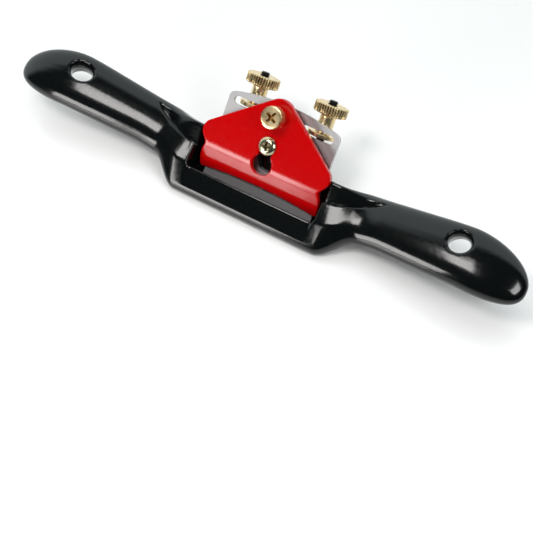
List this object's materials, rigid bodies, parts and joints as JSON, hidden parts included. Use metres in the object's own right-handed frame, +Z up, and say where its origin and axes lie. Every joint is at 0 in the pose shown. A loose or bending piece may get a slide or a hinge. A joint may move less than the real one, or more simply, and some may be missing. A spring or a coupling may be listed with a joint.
{
  "type": "spokeshave",
  "caption": "Adjustable metal spokeshave with raised handles, a flat sole, a lever cap and two knurled cutter-adjusting nuts.",
  "frame": {"origin": "middle of the flat sole behind the mouth", "axes": "+X along the handles to the user's right when pushing, +Y to the back, away from the toe, +Z up, away from the work"},
  "size_m": [0.2456, 0.0558, 0.041],
  "materials": {
    "black_enamel": "gloss black enamel over cast iron",
    "red_enamel": "gloss red enamel",
    "ground_steel": "fine ground satin",
    "black_steel": "blackened, lightly oiled",
    "brass": "turned and knurled",
    "yellow_zinc": "yellow zinc plate"
  },
  "bodies": {
    "frame": {"frame": "black_enamel", "adjuster_stud_left": "black_steel", "adjuster_stud_right": "black_steel"},
    "blade": {"blade": "ground_steel"},
    "adjuster_nut_left": {"adjuster_nut_left": "brass"},
    "adjuster_nut_right": {"adjuster_nut_right": "brass"},
    "lever_cap": {"lever_cap": "red_enamel"},
    "cap_screw": {"cap_screw": "brass"},
    "retaining_screw": {"retaining_screw": "yellow_zinc"}
  },
  "joints": [
    {"name": "blade_slide", "type": "slide", "parent": "frame", "child": "blade", "axis": [0, 0.7071, 0.7071], "range_m": [-0.0015, 0.003]},
    {"name": "nut_left_turn", "type": "hinge", "parent": "blade", "child": "adjuster_nut_left", "pos_m": [-0.0167, 0.02999, 0.03214], "axis": [0, 0.7071, 0.7071], "range_deg": [-676, 1351]},
    {"name": "nut_right_turn", "type": "hinge", "parent": "blade", "child": "adjuster_nut_right", "pos_m": [0.0167, 0.02999, 0.03214], "axis": [0, 0.7071, 0.7071], "range_deg": [-676, 1351]},
    {"name": "cap_slide", "type": "slide", "parent": "frame", "child": "lever_cap", "axis": [0, 0.7071, 0.7071], "range_m": [0, 0.0083]},
    {"name": "cap_screw_turn", "type": "hinge", "parent": "lever_cap", "child": "cap_screw", "pos_m": [0, 0.01914, 0.02864], "axis": [0, -0.7071, 0.7071], "range_deg": [0, 720]},
    {"name": "retaining_screw_turn", "type": "hinge", "parent": "frame", "child": "retaining_screw", "pos_m": [0, 0.01002, 0.01952], "axis": [0, -0.7071, 0.7071], "range_deg": [0, 720]}
  ],
  "couplings": [
    {"joint": "nut_left_turn", "follows": "blade_slide", "rad_per_m": 7854},
    {"joint": "nut_right_turn", "follows": "blade_slide", "rad_per_m": 7854}
  ]
}
